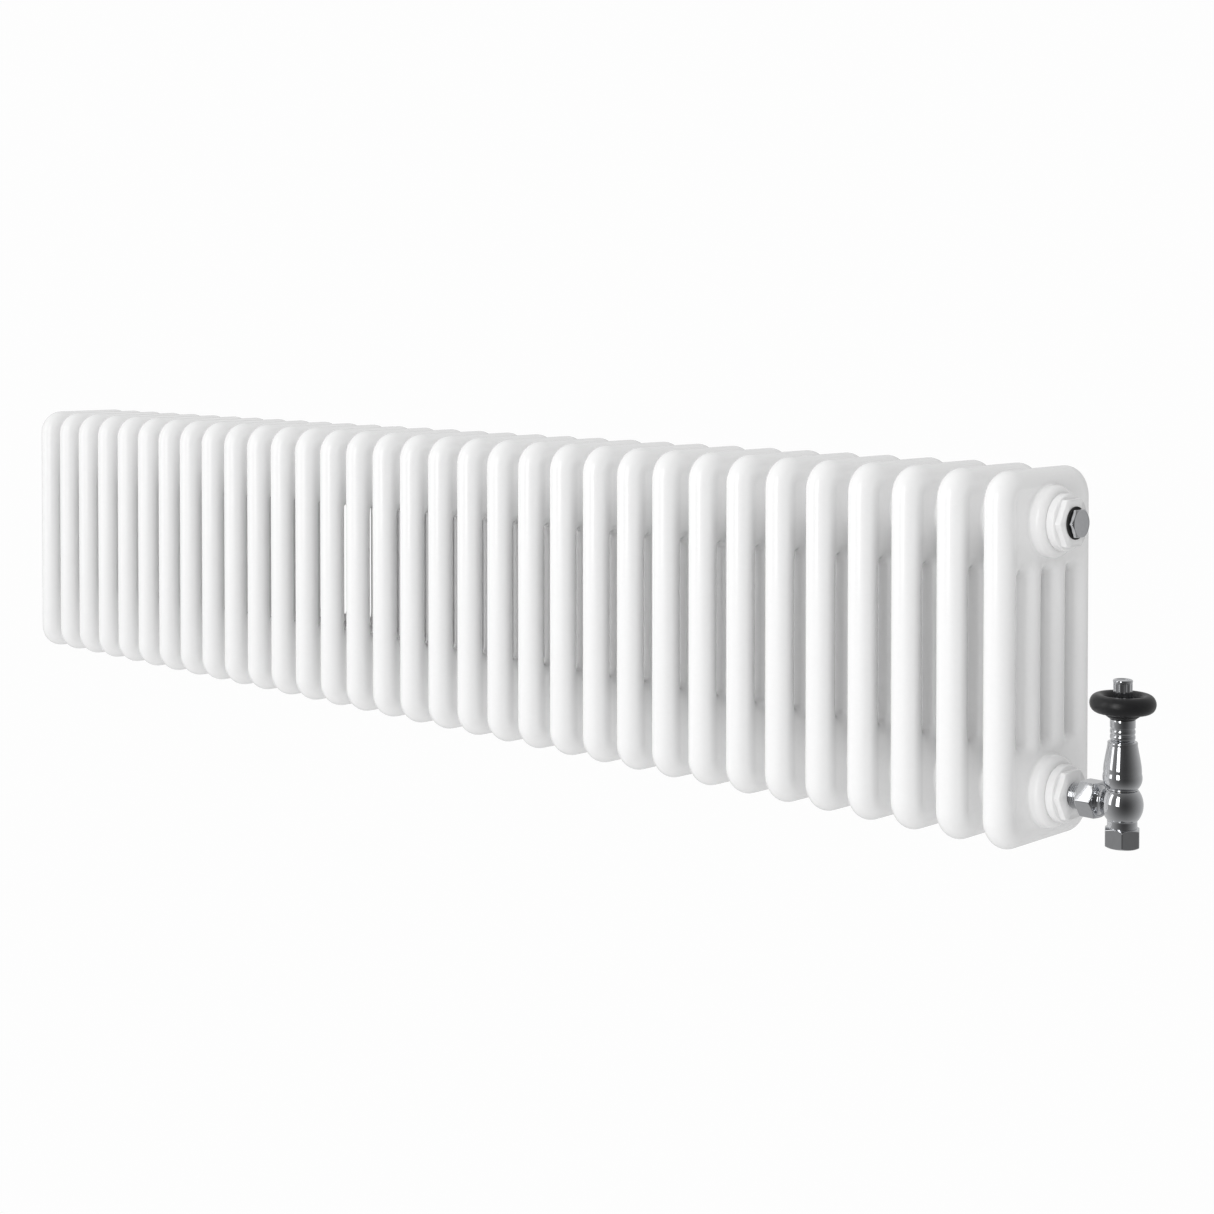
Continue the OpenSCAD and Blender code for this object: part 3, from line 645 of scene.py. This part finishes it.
# %% Wheel, flange and cap
WHEEL_R, WHEEL_T, WHEEL_BORE = 25.45, 14.4, 6.0
DISH_R, DISH_DEPTH, HUB_DROP = 12.9, 4.4, 4.6
dish_z = WHEEL_T - DISH_DEPTH
wheel_low = sleeve_low + SLEEVE_H + 0.3 + HUB_DROP
rim_mid, rim_half, rim_r = (WHEEL_R + DISH_R) / 2, WHEEL_T / 2, (WHEEL_R - DISH_R) / 2
around = np.linspace(-2.2, 3.05, 40)
rim = np.stack([rim_mid + rim_r * np.cos(around), rim_half + rim_half * np.sin(around)], 1)
wheel = np.vstack([
    rounded([(WHEEL_BORE, dish_z, 0), (WHEEL_BORE, -HUB_DROP, 0.3), (10.2, -HUB_DROP, 0.6),
             (13.3, -2.3, 0.8), (13.6, -0.6, 0.5), (*rim[0], 0)]),
    rim[1:],
    rounded([(*rim[-1], 0), (DISH_R - 0.1, dish_z, 0.8), (WHEEL_BORE, dish_z, 0)])])
wheel_at = (valve_x, mid_y, lower_hub_z + wheel_low)
points, faces = turned(wheel, "+z", wheel_at, turns=144)
make_piece("handwheel_skin", points, faces, "wheel", "black_plastic", ["handwheel"])
HUB_PLATE_T, HUB_PLATE_R = 0.9, 9.3
plate_top = dish_z + HUB_PLATE_T
flange = rounded([(STEM_R, -4.2, 0), (5.95, -4.2, 0), (5.95, dish_z + 0.03, 0),
                  (HUB_PLATE_R, dish_z + 0.03, 0.15), (HUB_PLATE_R, plate_top, 0.35),
                  (0, plate_top, 0), (0, 6.4, 0), (STEM_R, 6.4, 0), (STEM_R, -4.2, 0)])
points, faces = turned(flange, "+z", wheel_at)
make_piece("wheel_hub_skin", points, faces, "wheel", "chrome", ["wheel_hub"])
CAP_R, CAP_H, FLUTES, FLUTE_DEPTH = 7.6, 15.0, 12, 0.62


def fluted(r, h, t):
    """Cap radius less a round-bottomed wave that fades in above the foot and out below the rim."""
    wave = np.maximum(-np.cos(FLUTES * t), -0.35) * 0.5 + 0.5
    reach = smooth_step(h, -0.5, 0.4) * (1 - smooth_step(h, CAP_H - 3.2, CAP_H - 2.2))
    return np.where(r > 6.5, r - FLUTE_DEPTH * (1 - wave) * reach, r), h


cap = np.vstack([rounded([(0, 0.01, 0), (CAP_R - 0.2, 0.01, 0.15), (CAP_R - 0.1, 0.3, 0)]),
                 np.stack([np.full(16, CAP_R - 0.1), np.linspace(0.8, CAP_H - 2.0, 16)], 1),
                 rounded([(CAP_R - 0.1, CAP_H - 1.8, 0), (CAP_R, CAP_H - 1.3, 0.1), (CAP_R, CAP_H, 1.15),
                          (CAP_R - 1.9, CAP_H, 0.6), (CAP_R - 2.6, CAP_H - 0.75, 0.4),
                          (0, CAP_H - 0.75, 0)])])
cap_at = (valve_x, mid_y, lower_hub_z + wheel_low + plate_top)
points, faces = turned(cap, "+z", cap_at, turns=192, shape=fluted)
make_piece("wheel_cap_skin", points, faces, "wheel", "chrome", ["wheel_cap"])
print("wheel", round(wheel_low, 2), "to", round(wheel_low + WHEEL_T, 2))

# %% [markdown]
# ## Finishes
# Every finish starts from the same two effects: a fine relief, which moves the normal a little, and
# a slow drift, which varies how rough the surface is from place to place. They are groups, built
# once, and each material feeds them its own sizes. Patterns are read in the object's own space, so
# they stay put when a piece turns.

# %% Shared effects
def link(tree, a, b):
    tree.links.new(a, b)


def group_sockets(tree, inputs, outputs):
    """Names a group's inputs, with their values, and its outputs, and returns its two end nodes."""
    for name, kind, value in inputs:
        socket = tree.interface.new_socket(name, in_out="INPUT", socket_type=kind)
        if value is not None:
            socket.default_value = value
    for name, kind in outputs:
        tree.interface.new_socket(name, in_out="OUTPUT", socket_type=kind)
    return tree.nodes.new("NodeGroupInput"), tree.nodes.new("NodeGroupOutput")


def fine_relief():
    """Group: noise of a given size in object space, as a bumped normal and as the noise itself."""
    tree = bpy.data.node_groups.new("fine_relief", "ShaderNodeTree")
    into, out = group_sockets(tree, [("Scale", "NodeSocketFloat", 400.0),
                                     ("Depth", "NodeSocketFloat", 0.0001),
                                     ("Detail", "NodeSocketFloat", 2.0)],
                              [("Normal", "NodeSocketVector"), ("Grain", "NodeSocketFloat")])
    place, noise, bump = (tree.nodes.new(k) for k in (
        "ShaderNodeTexCoord", "ShaderNodeTexNoise", "ShaderNodeBump"))
    link(tree, place.outputs["Object"], noise.inputs["Vector"])
    link(tree, into.outputs["Scale"], noise.inputs["Scale"])
    link(tree, into.outputs["Detail"], noise.inputs["Detail"])
    link(tree, noise.outputs["Fac"], bump.inputs["Height"])
    link(tree, into.outputs["Depth"], bump.inputs["Distance"])
    link(tree, bump.outputs["Normal"], out.inputs["Normal"])
    link(tree, noise.outputs["Fac"], out.inputs["Grain"])
    return tree


def slow_drift():
    """Group: wide noise in object space, spread between a low and a high value."""
    tree = bpy.data.node_groups.new("slow_drift", "ShaderNodeTree")
    into, out = group_sockets(tree, [("Scale", "NodeSocketFloat", 20.0), ("Low", "NodeSocketFloat", 0.2),
                                     ("High", "NodeSocketFloat", 0.3)],
                              [("Value", "NodeSocketFloat")])
    place, noise, spread = (tree.nodes.new(k) for k in (
        "ShaderNodeTexCoord", "ShaderNodeTexNoise", "ShaderNodeMapRange"))
    noise.inputs["Detail"].default_value = 3
    link(tree, place.outputs["Object"], noise.inputs["Vector"])
    link(tree, into.outputs["Scale"], noise.inputs["Scale"])
    link(tree, noise.outputs["Fac"], spread.inputs["Value"])
    spread.inputs["From Min"].default_value, spread.inputs["From Max"].default_value = 0.3, 0.7
    link(tree, into.outputs["Low"], spread.inputs["To Min"])
    link(tree, into.outputs["High"], spread.inputs["To Max"])
    link(tree, spread.outputs["Result"], out.inputs["Value"])
    return tree


relief_group, drift_group = fine_relief(), slow_drift()
print("groups", relief_group.name, drift_group.name)

# %% [markdown]
# ## Materials
# The white paint is a baked powder coat: bright, glossy, and under a low light very slightly
# dimpled like orange peel. Chrome is a mirror, so what it shows is its surroundings; only a trace
# of polishing waviness is its own. The wheel is a satin black moulding with a fine grain.

# %% Material maker
def make_finish(name, colours, metallic, rough, relief, drift_scale=25.0, **fixed):
    """A Principled material: colour between two shades, roughness between two values, fine relief."""
    material = bpy.data.materials.new(name)
    material.use_nodes = True
    tree = material.node_tree
    shader = tree.nodes["Principled BSDF"]
    bump, wear = tree.nodes.new("ShaderNodeGroup"), tree.nodes.new("ShaderNodeGroup")
    bump.node_tree, wear.node_tree = relief_group, drift_group
    for key, value in zip(("Scale", "Depth", "Detail"), relief):
        bump.inputs[key].default_value = value
    for key, value in zip(("Scale", "Low", "High"), (drift_scale, *rough)):
        wear.inputs[key].default_value = value
    shade = tree.nodes.new("ShaderNodeMix")
    shade.data_type = "RGBA"
    shade.inputs["A"].default_value = (*colours[0], 1)
    shade.inputs["B"].default_value = (*colours[1], 1)
    link(tree, bump.outputs["Grain"], shade.inputs["Factor"])
    link(tree, shade.outputs["Result"], shader.inputs["Base Color"])
    link(tree, wear.outputs["Value"], shader.inputs["Roughness"])
    link(tree, bump.outputs["Normal"], shader.inputs["Normal"])
    shader.inputs["Metallic"].default_value = metallic
    for key, value in fixed.items():
        shader.inputs[key.replace("_", " ")].default_value = value
    material.diffuse_color = (*colours[1], 1)
    return material


white_enamel = make_finish(
    "white_enamel", ((0.90, 0.90, 0.90), (0.93, 0.93, 0.93)), 0.0, (0.20, 0.27),
    (320.0, 0.00002, 2.0), Coat_Weight=0.35, Coat_Roughness=0.08)
chrome = make_finish(
    "polished_chrome", ((0.72, 0.73, 0.75), (0.80, 0.81, 0.83)), 1.0, (0.035, 0.08),
    (260.0, 0.000012, 2.0))
black_plastic = make_finish(
    "black_moulding", ((0.010, 0.010, 0.011), (0.018, 0.018, 0.019)), 0.0, (0.30, 0.40),
    (1500.0, 0.00003, 3.0), drift_scale=60.0)
rubber = make_finish(
    "black_rubber", ((0.012, 0.012, 0.012), (0.03, 0.03, 0.03)), 0.0, (0.55, 0.7),
    (1800.0, 0.00004, 3.0))
brass = make_finish(
    "turned_brass", ((0.62, 0.45, 0.20), (0.74, 0.56, 0.29)), 1.0, (0.2, 0.32),
    (900.0, 0.00002, 3.0))
steel = make_finish(
    "drawn_steel", ((0.48, 0.49, 0.50), (0.60, 0.61, 0.62)), 1.0, (0.22, 0.36),
    (1100.0, 0.00002, 3.0))
print("materials", [m.name for m in bpy.data.materials])

# %% Give every piece its finish
finish_of = {"white_enamel": white_enamel, "chrome": chrome, "black_plastic": black_plastic,
             "black_rubber": rubber, "brass": brass, "steel": steel}
slot_of = {row["node"]: row["material_slot"] for row in frame["record"]["subparts"]}
painted = 0
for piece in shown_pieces():
    slot = piece.get("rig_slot") or slot_of[piece["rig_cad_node"]]
    if piece.data.materials:
        for i in range(len(piece.data.materials)):
            piece.data.materials[i] = finish_of[slot]
    else:
        piece.data.materials.append(finish_of[slot])
    painted += 1
print(painted, "pieces painted")

# %% [markdown]
# ## Floor
# The object stands out against a bright, even studio. A wide pale floor far below it keeps shadows
# faint. The camera sees the floor as even white, like the backdrop, so no horizon shows. Mirrors
# don't see the floor at all, because it would turn the lower half of every chrome piece white.

# %% Floor
WHITE_LEVEL = 0.985
FLOOR_HALF, FLOOR_DROP = 6000, 260
floor_z = lower_hub_z - FLOOR_DROP


def floor_surface():
    """A flat sheet below the valve, 12 m across."""
    line = np.linspace(-FLOOR_HALF, FLOOR_HALF, 7)
    y, x = np.meshgrid(line, line, indexing="ij")
    points = np.stack([x, y, np.full_like(x, floor_z)], -1).reshape(-1, 3)
    return points, grid_faces(7, 7)


points, faces = floor_surface()
floor_mesh = bpy.data.meshes.new("studio_floor")
floor_mesh.from_pydata((points * MM).tolist(), [], faces.tolist())
floor = bpy.data.objects.new("studio_floor", floor_mesh)
bpy.context.scene.collection.objects.link(floor)


def pale_finish():
    """Matt and pale to everything around it, and evenly white to the camera."""
    pale = bpy.data.materials.new("pale_floor")
    pale.use_nodes = True
    tree = pale.node_tree
    matt, out = tree.nodes["Principled BSDF"], tree.nodes["Material Output"]
    matt.inputs["Base Color"].default_value = (0.93, 0.93, 0.93, 1)
    matt.inputs["Roughness"].default_value = 0.9
    glow, ray, mix = (tree.nodes.new(k) for k in (
        "ShaderNodeEmission", "ShaderNodeLightPath", "ShaderNodeMixShader"))
    glow.inputs["Strength"].default_value = WHITE_LEVEL
    link(tree, ray.outputs["Is Camera Ray"], mix.inputs["Fac"])
    link(tree, matt.outputs["BSDF"], mix.inputs[1])
    link(tree, glow.outputs["Emission"], mix.inputs[2])
    link(tree, mix.outputs["Shader"], out.inputs["Surface"])
    return pale


floor.data.materials.append(pale_finish())
floor.visible_glossy = False
print("floor at", round(floor_z, 1))

# %% [markdown]
# ## Camera
# The camera stands to the right of the front, slightly above the radiator. Its lens is shifted down
# so that upright tubes stay upright.

# %% Camera
CAMERA_AT = (1.6383, -1.4728, 0.1623)
YAW, PITCH = math.radians(44.97), math.radians(1.24)
camera_data = bpy.data.cameras.new("camera")
camera = bpy.data.objects.new("camera", camera_data)
bpy.context.scene.collection.objects.link(camera)
forward = Vector((-math.sin(YAW) * math.cos(PITCH), math.cos(YAW) * math.cos(PITCH), -math.sin(PITCH)))
camera.location = CAMERA_AT
camera.rotation_euler = forward.to_track_quat("-Z", "Y").to_euler()
camera_data.lens, camera_data.sensor_width = 60.9, 36.0
camera_data.shift_y = -0.2017
camera_data.clip_start, camera_data.clip_end = 0.05, 50
bpy.context.scene.camera = camera
print("camera at", [round(v, 3) for v in camera.location])

# %% [markdown]
# ## Light
# Two tall soft boxes stand in front. Round them the world does three separate jobs, and no real
# room would do all three. The camera sees it as plain white. Paint and plastic get a soft light
# from it that is strongest above and to the left. Chrome sees an even sweep from dark, behind the
# camera, to pale on the far side, because a mirror in an all-white room shows no shape.

# %% Lights
SOFT_FROM, SOFT_LEVELS = (-0.45, -0.35, 0.82), (0.23, 0.99)
ROOM_FROM, ROOM_LEVELS = (-1, 1, 0), (0.05, 0.6)
BOX_SIZE = (0.9, 2.6)


def soft_light(name, place, aim, size, power):
    """A rectangular soft box that faces a point."""
    data = bpy.data.lights.new(name, "AREA")
    data.shape, data.size, data.size_y, data.energy = "RECTANGLE", size[0], size[1], power
    lamp = bpy.data.objects.new(name, data)
    bpy.context.scene.collection.objects.link(lamp)
    lamp.location = place
    lamp.rotation_euler = (Vector(aim) - Vector(place)).to_track_quat("-Z", "Y").to_euler()
    return lamp


def gradient_towards(tree, direction, low, high):
    """Strength that rises evenly from low, facing away from a direction, to high, facing it."""
    place, side, spread = (tree.nodes.new(k) for k in (
        "ShaderNodeTexCoord", "ShaderNodeVectorMath", "ShaderNodeMapRange"))
    side.operation = "DOT_PRODUCT"
    side.inputs[1].default_value = Vector(direction).normalized()
    link(tree, place.outputs["Generated"], side.inputs[0])
    link(tree, side.outputs["Value"], spread.inputs["Value"])
    for key, value in (("From Min", -1), ("From Max", 1), ("To Min", low), ("To Max", high)):
        spread.inputs[key].default_value = value
    return spread.outputs["Result"]


def studio_world():
    """One background strength for the camera, one for mirrors and one for everything else."""
    world = bpy.data.worlds.new("studio")
    world.use_nodes = True
    tree = world.node_tree
    back = tree.nodes["Background"]
    back.inputs["Color"].default_value = (1, 1, 1, 1)
    ray, mirror, pick = (tree.nodes.new(k) for k in (
        "ShaderNodeLightPath", "ShaderNodeMix", "ShaderNodeMix"))
    link(tree, ray.outputs["Is Glossy Ray"], mirror.inputs["Factor"])
    link(tree, gradient_towards(tree, SOFT_FROM, *SOFT_LEVELS), mirror.inputs["A"])
    link(tree, gradient_towards(tree, ROOM_FROM, *ROOM_LEVELS), mirror.inputs["B"])
    link(tree, ray.outputs["Is Camera Ray"], pick.inputs["Factor"])
    link(tree, mirror.outputs["Result"], pick.inputs["A"])
    pick.inputs["B"].default_value = WHITE_LEVEL
    link(tree, pick.outputs["Result"], back.inputs["Strength"])
    return world


bpy.context.scene.world = studio_world()
bpy.context.scene.view_settings.view_transform = "Standard"
front_box = soft_light("front_box", (1.05, -3.1, 0.85), (0.65, 0, 0.75), BOX_SIZE, 25)
left_box = soft_light("left_box", (-1.26, -2.4, 0.85), (0.4, 0, 0.75), BOX_SIZE, 9)
print("world", bpy.context.scene.world.name, "with", front_box.name, "and", left_box.name)
